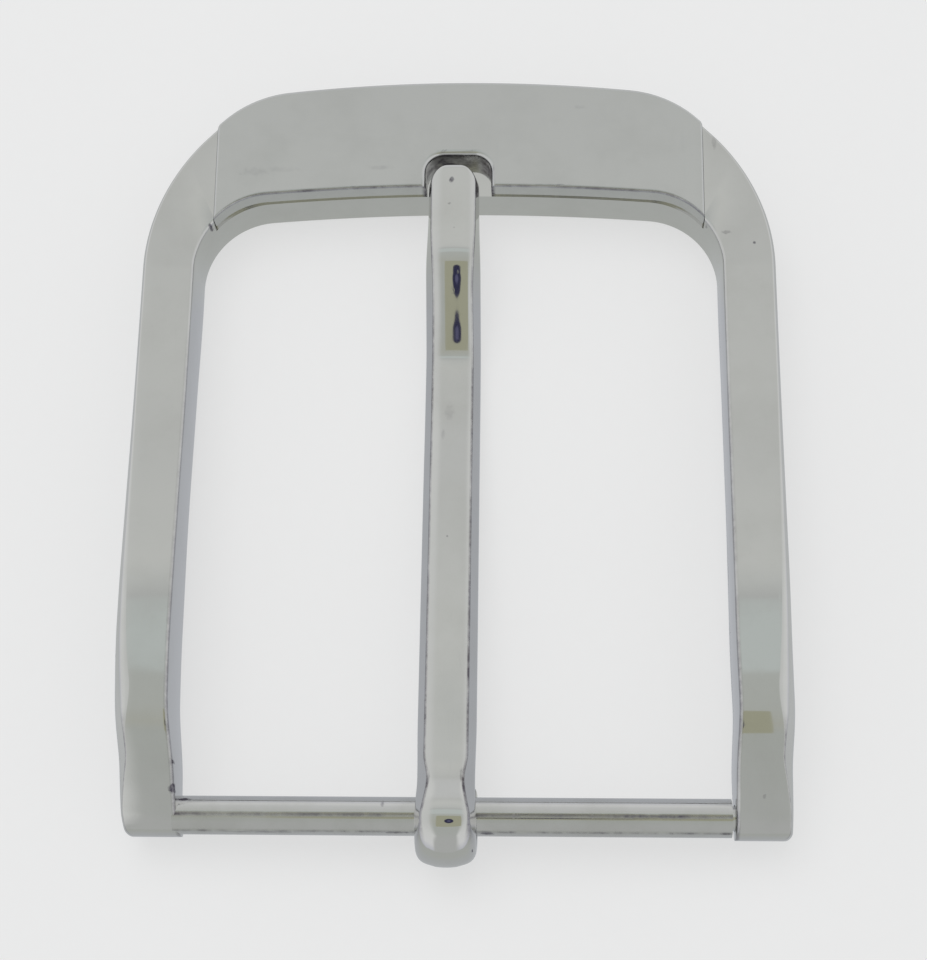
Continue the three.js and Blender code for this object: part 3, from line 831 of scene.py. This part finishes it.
def handled_metal_group():
    group = bpy.data.node_groups.new("handled_metal", "ShaderNodeTree")
    add = group.interface.new_socket
    for name in ("Shade And Grime Amount", "Hairlines", "Pits", "Clouding", "Ripple"):
        add(name, in_out="INPUT", socket_type="NodeSocketFloat").default_value = 1.0
    for name in ("Shade And Grime Mask", "Shade And Grime Tint", "Cloud Mask", "Line Mask", "Height"):
        add(name, in_out="OUTPUT", socket_type="NodeSocketFloat")
    inputs = new_node(group, "NodeGroupInput", -1400, 0)
    outputs = new_node(group, "NodeGroupOutput", 900, 0)
    where = new_node(group, "ShaderNodeTexCoord", -1400, 300).outputs["Object"]

    # Hairlines: three sets of stretched noise at different angles, cut to thin threads.
    lines = None
    for index, (turn, stretch, fine) in enumerate(HAIRLINE_SETS):
        y = 600 - 260 * index
        place = new_node(group, "ShaderNodeMapping", -1150, y)
        place.inputs["Rotation"].default_value = (0.0, 0.0, math.radians(turn))
        place.inputs["Scale"].default_value = (1.0, 1.0 / stretch, 1.0)
        group.links.new(where, place.inputs["Vector"])
        grain = noise(group, -950, y, place.outputs[0], fine, 2.0)
        thin = shaped(group, -750, y, grain, [(0.67, 0.0), (0.7, 1.0), (0.73, 0.0)])
        lines = thin if lines is None else maths(group, -450, y, "MAXIMUM", lines, thin)
    scuffed = noise(group, -950, -250, where, 330.0, 3.0)
    scuffed = shaped(group, -750, -250, scuffed, [(0.42, 0.1), (0.62, 1.0)])
    lines = maths(group, -250, 400, "MULTIPLY", lines, scuffed)
    lines = maths(group, -100, 400, "MULTIPLY", lines, inputs.outputs["Hairlines"])

    # Pits: a few cells of a broken pattern, each with a ragged dot at its heart.
    ragged = noise(group, -1350, -500, where, 3500.0, 2.0)
    nudge = maths(group, -1150, -650, "MULTIPLY", ragged, 0.00012)
    bent = new_node(group, "ShaderNodeVectorMath", -1100, -500, operation="ADD")
    group.links.new(where, bent.inputs[0])
    group.links.new(nudge, bent.inputs[1])
    cells = new_node(group, "ShaderNodeTexVoronoi", -950, -500)
    cells.inputs["Scale"].default_value = 480.0
    group.links.new(bent.outputs[0], cells.inputs["Vector"])
    dots = shaped(group, -750, -500, cells.outputs["Distance"], [(0.03, 1.0), (0.065, 0.0)])
    split = new_node(group, "ShaderNodeSeparateColor", -750, -650)
    group.links.new(cells.outputs["Color"], split.inputs["Color"])
    rare = maths(group, -550, -650, "GREATER_THAN", split.outputs[0], 0.8)
    pits = maths(group, -350, -550, "MULTIPLY", dots, rare)
    pits = maths(group, -150, -550, "MULTIPLY", pits, inputs.outputs["Pits"])

    # Dirt and painted shade: the darkening that the mesh asks for, broken up so that it sits
    # unevenly.
    crumbs = noise(group, -950, -750, where, 1400.0, 6.0, 0.7)
    crumbs = shaped(group, -750, -800, crumbs, [(0.34, 0.0), (0.62, 1.0)])
    patchy = noise(group, -950, -900, where, 260.0, 2.0)
    patchy = shaped(group, -750, -950, patchy, [(0.3, 0.25), (0.6, 1.0)])
    share = maths(group, -550, -800, "MULTIPLY_ADD", crumbs, 0.6)
    share.node.inputs[2].default_value = 0.4
    share = maths(group, -400, -850, "MULTIPLY", share, patchy)
    share = maths(group, -250, -800, "MULTIPLY", share, inputs.outputs["Shade And Grime Amount"])
    share = maths(group, -100, -700, "MAXIMUM", share, pits, clamp=True)
    tint = noise(group, -950, -1050, where, 420.0, 2.0)

    clouds = noise(group, -950, -1250, where, 210.0, 7.0, 0.62)
    clouds = shaped(group, -750, -1250, clouds, [(0.44, 0.0), (0.74, 1.0)])
    cloud = maths(group, -150, -1250, "MULTIPLY", clouds, inputs.outputs["Clouding"])
    swell = noise(group, -950, -1450, where, 160.0, 1.5)
    wave = maths(group, -350, -1450, "MULTIPLY", swell, inputs.outputs["Ripple"])

    grooves = maths(group, 100, 0, "MULTIPLY", lines, -0.02)
    height = maths(group, 250, 100, "MULTIPLY_ADD", share, -0.12)
    group.links.new(grooves, height.node.inputs[2])
    total = maths(group, 450, 0, "ADD", height, wave)

    for name, value in (
        ("Shade And Grime Mask", share), ("Shade And Grime Tint", tint), ("Cloud Mask", cloud), ("Line Mask", lines),
        ("Height", total),
    ):
        group.links.new(value, outputs.inputs[name])
    return group


handled_metal = handled_metal_group()
print("node group:", handled_metal.name, "with", len(handled_metal.nodes), "nodes")

# %% [markdown]
# Years of wear also leave single marks: a chip in the plating, a dark pit at the seam, a
# smudge where the strap rubs. Each is a small ragged spot at a known place, so one group
# draws a spot and a material uses it once for each mark on its piece.
# One mark on the prong is painted shadow, not wear: the thin dark slit where the loop's open end
# tucks in.

# %% A group for a single mark
def mark_group():
    group = bpy.data.node_groups.new("single_mark", "ShaderNodeTree")
    add = group.interface.new_socket
    add("Place", in_out="INPUT", socket_type="NodeSocketVector")
    add("Stretch", in_out="INPUT", socket_type="NodeSocketVector")
    add("Strength", in_out="INPUT", socket_type="NodeSocketFloat")
    add("Mask", in_out="OUTPUT", socket_type="NodeSocketFloat")
    inputs = new_node(group, "NodeGroupInput", -1200, 0)
    outputs = new_node(group, "NodeGroupOutput", 400, 0)
    where = new_node(group, "ShaderNodeTexCoord", -1200, 300).outputs["Object"]
    away = new_node(group, "ShaderNodeVectorMath", -1000, 100, operation="SUBTRACT")
    group.links.new(where, away.inputs[0])
    group.links.new(inputs.outputs["Place"], away.inputs[1])
    scaled = new_node(group, "ShaderNodeVectorMath", -800, 100, operation="DIVIDE")
    group.links.new(away.outputs[0], scaled.inputs[0])
    group.links.new(inputs.outputs["Stretch"], scaled.inputs[1])
    reach = new_node(group, "ShaderNodeVectorMath", -600, 100, operation="LENGTH")
    group.links.new(scaled.outputs[0], reach.inputs[0])
    grit = noise(group, -800, -150, where, 2200.0, 5.0, 0.7)
    rough_edge = maths(group, -400, 0, "MULTIPLY_ADD", grit, 1.6)
    shift = maths(group, -550, -50, "ADD", reach.outputs["Value"], -0.8)
    group.links.new(shift, rough_edge.node.inputs[2])
    body = shaped(group, -200, 0, rough_edge, [(0.35, 1.0), (0.75, 0.0)])
    mask = maths(group, 150, 0, "MULTIPLY", body, inputs.outputs["Strength"])
    group.links.new(mask, outputs.inputs["Mask"])
    return group


single_mark = mark_group()
print("node group:", single_mark.name)

# %% Polished nickel, once for each piece
# Colours of the darkening, mixed by noise: painted shade and dark reflection in the notch and on
# the plate's edge, darker lines along rounded edges, and dirt on the bar.
SHADE_AND_DIRT_COLD, SHADE_AND_DIRT_WARM = (0.11, 0.105, 0.17, 1), (0.17, 0.15, 0.14, 1)
CLOUDED_ROUGHER, LINED_ROUGHER, SHADE_AND_GRIME_ROUGHER = 0.14, 0.12, 0.4
BUMP_STRENGTH, BUMP_DEPTH = 0.35, 0.00006


def mixed(tree, x, y, factor, a, b):
    node = new_node(tree, "ShaderNodeMix", x, y, data_type="RGBA")
    tree.links.new(factor, node.inputs["Factor"])
    for socket, value in (("A", a), ("B", b)):
        if isinstance(value, tuple):
            node.inputs[socket].default_value = value
        else:
            tree.links.new(value, node.inputs[socket])
    return node.outputs["Result"]


def nickel(name, colour, dulled, roughness, hairlines, pits, clouding, ripple, marks=()):
    """colour is the bright metal, dulled the same metal where it has clouded.

    marks are (x, y, z, reach across, reach along, strength), in mm from the bar's axis.
    """
    material = bpy.data.materials.new(name)
    material.use_nodes = True
    tree = material.node_tree
    shader = tree.nodes["Principled BSDF"]
    shader.inputs["Metallic"].default_value = 1.0
    asked = new_node(tree, "ShaderNodeAttribute", -1150, 0, attribute_name="dirt_and_shade")
    wear = new_node(tree, "ShaderNodeGroup", -900, 0)
    wear.node_tree = handled_metal
    dirt_and_shade = asked.outputs["Fac"]
    for index, (x, y, z, across, along, strength) in enumerate(marks):
        mark = new_node(tree, "ShaderNodeGroup", -1400, -250 * index)
        mark.node_tree = single_mark
        mark.inputs["Place"].default_value = (x * MM, hinge.y + y * MM, z * MM)
        mark.inputs["Stretch"].default_value = (across * MM, along * MM, MM)
        mark.inputs["Strength"].default_value = strength
        dirt_and_shade = maths(tree, -1200, -250 * index, "MAXIMUM", dirt_and_shade, mark.outputs["Mask"])
    tree.links.new(dirt_and_shade, wear.inputs["Shade And Grime Amount"])
    for socket, value in (
        ("Hairlines", hairlines), ("Pits", pits), ("Clouding", clouding), ("Ripple", ripple),
    ):
        wear.inputs[socket].default_value = value

    metal = mixed(tree, -500, 300, wear.outputs["Cloud Mask"], (*colour, 1), (*dulled, 1))
    shade_and_residue = mixed(tree, -500, 550, wear.outputs["Shade And Grime Tint"], SHADE_AND_DIRT_COLD, SHADE_AND_DIRT_WARM)
    # The darkening mask lays that colour over the metal: painted shade, darker edge lines and dirt.
    surface = mixed(tree, -250, 300, wear.outputs["Shade And Grime Mask"], metal, shade_and_residue)
    tree.links.new(surface, shader.inputs["Base Color"])

    rough = maths(tree, -500, 0, "MULTIPLY_ADD", wear.outputs["Cloud Mask"], CLOUDED_ROUGHER)
    rough.node.inputs[2].default_value = roughness
    lined = maths(tree, -350, -150, "MULTIPLY_ADD", wear.outputs["Line Mask"], LINED_ROUGHER)
    tree.links.new(rough, lined.node.inputs[2])
    darkened_mask = wear.outputs["Shade And Grime Mask"]
    darkened_rough = maths(tree, -200, 0, "MULTIPLY_ADD", darkened_mask, SHADE_AND_GRIME_ROUGHER, clamp=True)
    tree.links.new(lined, darkened_rough.node.inputs[2])
    tree.links.new(darkened_rough, shader.inputs["Roughness"])

    bump = new_node(tree, "ShaderNodeBump", -300, -300)
    bump.inputs["Strength"].default_value = BUMP_STRENGTH
    bump.inputs["Distance"].default_value = BUMP_DEPTH
    tree.links.new(wear.outputs["Height"], bump.inputs["Height"])
    tree.links.new(bump.outputs["Normal"], shader.inputs["Normal"])
    return material


# %% [markdown]
# The marks are placed in millimetres from the bar's axis. The prong is the brightest
# piece, because the holes of the strap keep it rubbed, and the plate is the dullest.

# %% Marks and finishes
FRAME_MARKS = [
    (-17.85, 1.45, 5.0, 0.35, 0.55, 1.2), (-17.8, 3.1, 5.6, 0.14, 0.24, 1.3),
    (-21.9, 9.9, 5.6, 0.2, 0.25, 3.0), (19.9, 1.2, 5.0, 0.16, 0.25, 0.45),
    (-17.35, 40.7, 4.0, 0.22, 0.28, 1.6), (17.15, 40.6, 4.0, 0.24, 0.25, 1.6),
    (17.9, 47.0, 4.5, 0.25, 1.1, 0.5), (-17.9, 22.0, 5.5, 0.18, 1.4, 1.5),
    (18.6, 40.0, 4.6, 0.5, 0.2, 0.6),
]
PLATE_MARKS = [
    (-14.3, 44.7, 4.6, 1.6, 0.5, 0.2), (-12.4, 44.85, 4.6, 1.8, 0.35, 0.18),
    (-5.5, 44.95, 4.6, 1.2, 0.25, 0.2), (8.5, 49.5, 4.6, 0.7, 0.25, 0.12),
    (6.2, 43.55, 4.5, 2.2, 0.1, 0.9), (-6.5, 43.5, 4.5, 2.4, 0.08, 0.8),
]
BAR_MARKS = [
    (-17.2, 0.9, 3.9, 0.7, 0.15, 2.0), (-4.4, 0.7, 4.1, 0.2, 0.35, 0.7),
    (-3.3, -1.08, 3.7, 1.6, 0.1, 1.2), (2.3, -1.12, 3.7, 0.9, 0.1, 0.9),
    (-12.0, -1.1, 3.7, 4.0, 0.08, 0.7),
]
PRONG_MARKS = [
    (-0.45, 43.9, 4.8, 0.22, 0.34, 2.5), (-0.6, 42.1, 4.8, 0.2, 0.15, 0.6),
    (-0.5, 27.6, 2.7, 0.5, 1.0, 0.18), (-0.9, 26.0, 2.9, 0.2, 0.7, 0.25),
    (-1.4, 2.3, 5.3, 0.16, 0.6, 0.9), (0.7, 2.4, 5.3, 0.16, 0.6, 0.9),
    # The last mark is painted shadow: the thin dark slit where the loop's open end tucks in.
    (1.42, -2.5, 4.9, 0.09, 0.5, 5.0),
]
finishes = {
    "frame": nickel(
        "nickel_frame", (0.70, 0.70, 0.69), (0.62, 0.62, 0.60), 0.045, 0.8, 0.8, 0.5, 0.4,
        FRAME_MARKS,
    ),
    "head_plate": nickel(
        "nickel_plate", (0.655, 0.66, 0.655), (0.59, 0.595, 0.585), 0.1, 1.0, 0.7, 0.5, 0.25,
        PLATE_MARKS,
    ),
    "heel_bar": nickel(
        "nickel_bar", (0.68, 0.68, 0.67), (0.56, 0.56, 0.53), 0.1, 0.8, 1.0, 0.7, 0.5,
        BAR_MARKS,
    ),
    "prong": nickel(
        "nickel_prong", (0.71, 0.71, 0.70), (0.63, 0.63, 0.61), 0.05, 1.0, 0.9, 0.5, 0.4,
        PRONG_MARKS,
    ),
}
for node, material in finishes.items():
    pieces[node][0].data.materials.clear()
    pieces[node][0].data.materials.append(material)
print("finishes:", [material.name for material in finishes.values()])

# %% [markdown]
# ## The floor
#
# The buckle lies on a sheet that glows from below, as on a light table, so its shadow
# stays faint. Polished metal would mirror that glow as glaring white, which a real
# light table avoids by lighting only what the lens sees. The floor's material does the
# same: mirror rays meet a quieter grey, lavender between the rails and greener by the head.

# %% Floor
FLOOR_SIZE = 0.9
FLOOR_GAP = 0.00002
FLOOR_GLOW = 0.555
floor_mesh = bpy.data.meshes.new("floor")
half_floor = FLOOR_SIZE / 2
floor_mesh.from_pydata(
    [(-half_floor, -half_floor, 0), (half_floor, -half_floor, 0),
     (half_floor, half_floor, 0), (-half_floor, half_floor, 0)], [], [(0, 1, 2, 3)]
)
floor = bpy.data.objects.new("floor", floor_mesh)
floor.location.z = cad_low.z - FLOOR_GAP
bpy.context.scene.collection.objects.link(floor)

paper = bpy.data.materials.new("pale_paper")
paper.use_nodes = True
tree = paper.node_tree
sheet = tree.nodes["Principled BSDF"]
sheet.inputs["Roughness"].default_value = 0.85
sheet.inputs["Specular IOR Level"].default_value = 0.1
position = new_node(tree, "ShaderNodeTexCoord", -1000, 0).outputs["Object"]
fibre = noise(tree, -800, 0, position, 900.0, 2.0)
shade = mixed(tree, -300, 0, fibre, (0.295, 0.295, 0.30, 1), (0.305, 0.305, 0.31, 1))
tree.links.new(shade, sheet.inputs["Base Color"])
sheet.inputs["Emission Color"].default_value = (1, 1, 1, 1)
sheet.inputs["Emission Strength"].default_value = FLOOR_GLOW
mirrored = new_node(tree, "ShaderNodeEmission", 0, -300)
spot = new_node(tree, "ShaderNodeSeparateXYZ", -900, -300)
tree.links.new(position, spot.inputs[0])
sideways = maths(tree, -700, -250, "ABSOLUTE", spot.outputs["X"])
outside = shaped(tree, -500, -250, sideways, [(0.021, 0.0), (0.03, 1.0)])
heelward = maths(tree, -700, -450, "MULTIPLY", spot.outputs["Y"], -1.0)
heelward = shaped(tree, -500, -450, heelward, [(0.022, 0.0), (0.04, 1.0)])
quiet = mixed(tree, -250, -300, outside, (0.475, 0.49, 0.52, 1), (0.59, 0.605, 0.61, 1))
headward = shaped(tree, -500, -650, spot.outputs["Y"], [(0.0125, 0.0), (0.0165, 1.0)])
greyer = mixed(tree, -250, -500, headward, quiet, (0.485, 0.50, 0.48, 1))
quiet = mixed(tree, -175, -400, outside, greyer, quiet)
quiet = mixed(tree, -100, -350, heelward, quiet, (0.47, 0.485, 0.465, 1))
tree.links.new(quiet, mirrored.inputs["Color"])
ray = new_node(tree, "ShaderNodeLightPath", 0, 500)
either = new_node(tree, "ShaderNodeMixShader", 300, 0)
tree.links.new(ray.outputs["Is Glossy Ray"], either.inputs["Fac"])
tree.links.new(sheet.outputs[0], either.inputs[1])
tree.links.new(mirrored.outputs[0], either.inputs[2])
tree.links.new(either.outputs[0], tree.nodes["Material Output"].inputs["Surface"])
floor_mesh.materials.append(paper)
print("floor at", round(1000 * floor.location.z, 3), "mm")

# %% [markdown]
# ## The room
#
# A polished buckle shows its room more than itself, so the room is part of the finish.
# Overhead it is pale and slightly green, with a cooler panel straight above. Towards the
# heel, where the wearer stands, it is greyer. The sides are brighter, which draws the
# light lines along every rounded edge.

# %% Room
ROOM_REACH = 1.2
LOWEST_LIFT = 0.05
ROOM_ALONG = [
    (-ROOM_REACH, (0.50, 0.51, 0.50)),
    (-0.45, (0.475, 0.495, 0.47)),
    (-0.12, (0.49, 0.50, 0.455)),
    (0.19, (0.51, 0.53, 0.505)),
    (0.20, (0.58, 0.62, 0.605)),
    (0.325, (0.58, 0.62, 0.605)),
    (0.335, (0.52, 0.53, 0.52)),
    (0.38, (0.60, 0.615, 0.60)),
    (0.43, (0.65, 0.66, 0.64)),
    (0.50, (0.625, 0.635, 0.62)),
    (0.57, (0.60, 0.61, 0.595)),
    (0.75, (0.64, 0.65, 0.645)),
    (ROOM_REACH, (0.66, 0.67, 0.67)),
]
ROOM_HEIGHT = [
    (0.0, (0.60, 0.61, 0.66)), (0.3, (0.76, 0.765, 0.77)), (0.7, (0.74, 0.75, 0.74)),
    (1.0, (0.64, 0.65, 0.64)),
]
# Between these two shares of its height the ceiling gives way to the wall.
ROOM_SIDES = (0.26, 0.42)
ROOM_HEADWARD = (1.1, 2.2)


def colour_stops(tree, x, y, value, stops, low, high):
    """Colours along a value that runs from low to high."""
    node = new_node(tree, "ShaderNodeValToRGB", x, y)
    elements = node.color_ramp.elements
    while len(elements) < len(stops):
        elements.new(0.5)
    for element, (at, colour) in zip(elements, stops):
        element.position, element.color = (at - low) / (high - low), (*colour, 1)
    share = new_node(tree, "ShaderNodeMapRange", x - 200, y)
    for name, number in (("From Min", low), ("From Max", high)):
        share.inputs[name].default_value = number
    tree.links.new(value, share.inputs["Value"])
    tree.links.new(share.outputs[0], node.inputs["Fac"])
    return node.outputs[0]


def falling(tree, x, y, value, start, end):
    node = new_node(tree, "ShaderNodeMapRange", x, y, interpolation_type="SMOOTHSTEP")
    for name, number in (("From Min", start), ("From Max", end), ("To Min", 1), ("To Max", 0)):
        node.inputs[name].default_value = number
    tree.links.new(value, node.inputs["Value"])
    return node.outputs[0]


world = bpy.data.worlds.new("room")
bpy.context.scene.world = world
world.use_nodes = True
tree = world.node_tree
direction = new_node(tree, "ShaderNodeTexCoord", -1600, 0)
parts = new_node(tree, "ShaderNodeSeparateXYZ", -1400, 0)
tree.links.new(direction.outputs["Generated"], parts.inputs[0])
lift = maths(tree, -1200, -200, "MAXIMUM", parts.outputs["Z"], LOWEST_LIFT)
heelward = maths(tree, -1200, 0, "MULTIPLY", parts.outputs["Y"], -1.0)
tallest = maths(tree, -1100, 50, "MAXIMUM", lift, heelward)
across = maths(tree, -1000, 100, "DIVIDE", parts.outputs["X"], tallest)
across = maths(tree, -850, 100, "ABSOLUTE", across)
along = maths(tree, -1000, -50, "DIVIDE", parts.outputs["Y"], lift)
overhead = colour_stops(tree, -600, 300, along, ROOM_ALONG, -ROOM_REACH, ROOM_REACH)
sides = colour_stops(tree, -600, 0, parts.outputs["Z"], ROOM_HEIGHT, 0.0, 1.0)
centre = maths(
    tree, -300, -200, "MULTIPLY",
    falling(tree, -600, -250, across, *ROOM_SIDES),
    falling(tree, -600, -450, along, *ROOM_HEADWARD),
)
seen = mixed(tree, -100, 0, centre, sides, overhead)
tree.links.new(seen, tree.nodes["Background"].inputs["Color"])
print("room:", world.name)

# %% [markdown]
# The camera itself shows in the metal: a dull olive box with a dark lens, mirrored in
# the ramp of the prong, on top of the loop and on one knee of the frame. A card where
# the camera stands makes those mirror images. Only mirror rays see it.

# %% Card in place of the camera
CAMERA_ACROSS = 5.61
CAMERA_BELOW = 13.92
CAMERA_HEIGHT = 130.0
CAMERA_PITCH = math.radians(16.04)
CAMERA_AT = Vector((CAMERA_ACROSS * MM, hinge.y - CAMERA_BELOW * MM, CAMERA_HEIGHT * MM))
CARD_WIDTH = 0.068
CARD_HEIGHT = 0.062
CARD_OLIVE = (0.41, 0.41, 0.31)
LENS_REACH = 0.05
card_mesh = bpy.data.meshes.new("camera_card")
w, h = CARD_WIDTH / 2, CARD_HEIGHT / 2
card_mesh.from_pydata([(-w, -h, 0), (w, -h, 0), (w, h, 0), (-w, h, 0)], [], [(0, 1, 2, 3)])
card = bpy.data.objects.new("camera_card", card_mesh)
card.location = CAMERA_AT
card.rotation_euler = (CAMERA_PITCH, 0, 0)
card.visible_camera = card.visible_diffuse = card.visible_shadow = False
bpy.context.scene.collection.objects.link(card)

olive = bpy.data.materials.new("olive_camera")
olive.use_nodes = True
tree = olive.node_tree
tree.nodes.remove(tree.nodes["Principled BSDF"])
glow = new_node(tree, "ShaderNodeEmission", 0, 0)
distance = new_node(tree, "ShaderNodeVectorMath", -600, 0, operation="LENGTH")
position = new_node(tree, "ShaderNodeTexCoord", -800, 0).outputs["Object"]
tree.links.new(position, distance.inputs[0])
lens = colour_stops(tree, -200, 0, distance.outputs["Value"], [
    (0.0, (0.12, 0.12, 0.2)), (0.004, (0.1, 0.1, 0.18)), (0.006, (0.03, 0.03, 0.07)),
    (0.0115, (0.05, 0.05, 0.09)), (0.0125, CARD_OLIVE), (LENS_REACH, CARD_OLIVE),
], 0.0, LENS_REACH)
tree.links.new(lens, glow.inputs["Color"])
tree.links.new(glow.outputs[0], tree.nodes["Material Output"].inputs["Surface"])
card_mesh.materials.append(olive)
print("card", round(1000 * CARD_WIDTH), "by", round(1000 * CARD_HEIGHT), "mm")

# %% [markdown]
# One large, soft lamp stands over the head, a little to the left. It only lights the
# paper and draws the faint shadow: the metal itself gets its light from the room.

# %% Lamp
LAMP_SIZE = 0.5
LAMP_HEIGHT = 0.55
LAMP_POWER = 1.0
lamp_data = bpy.data.lights.new("soft_lamp", "AREA")
lamp_data.shape = "DISK"
lamp_data.size = LAMP_SIZE
lamp_data.energy = LAMP_POWER
lamp_data.color = (1.0, 0.995, 0.985)
lamp = bpy.data.objects.new("soft_lamp", lamp_data)
lamp.location = (-0.12, 0.22, LAMP_HEIGHT)
lamp.rotation_euler = (Vector((0, 0, 0)) - lamp.location).to_track_quat("-Z", "Y").to_euler()
lamp.visible_glossy = False
bpy.context.scene.collection.objects.link(lamp)
bpy.context.scene.view_settings.view_transform = "Standard"
print("lamp at", [round(v, 2) for v in lamp.location])

# %% [markdown]
# ## The camera
#
# The camera stands close, a little below the heel end, and looks up the buckle. Standing
# close makes the rails seem to spread towards the heel and shows more of the left rail's
# inner side than of the right one's.

# %% Camera
CAMERA_YAW = math.radians(2.20)
CAMERA_LENS = 73.3
camera_data = bpy.data.cameras.new("camera")
camera_data.lens = CAMERA_LENS
camera_data.sensor_width = 36.0
camera_data.clip_start = 0.001
camera = bpy.data.objects.new("camera", camera_data)
camera.location = CAMERA_AT
forward = Vector((
    -math.sin(CAMERA_YAW),
    math.cos(CAMERA_YAW) * math.sin(CAMERA_PITCH),
    -math.cos(CAMERA_YAW) * math.cos(CAMERA_PITCH),
))
right = Vector((
    math.cos(CAMERA_YAW),
    math.sin(CAMERA_YAW) * math.sin(CAMERA_PITCH),
    -math.sin(CAMERA_YAW) * math.cos(CAMERA_PITCH),
))
up = right.cross(forward)
camera.rotation_euler = Matrix((right, up, -forward)).transposed().to_euler()
bpy.context.scene.collection.objects.link(camera)
bpy.context.scene.camera = camera
print("camera at", [round(v, 4) for v in camera.location])
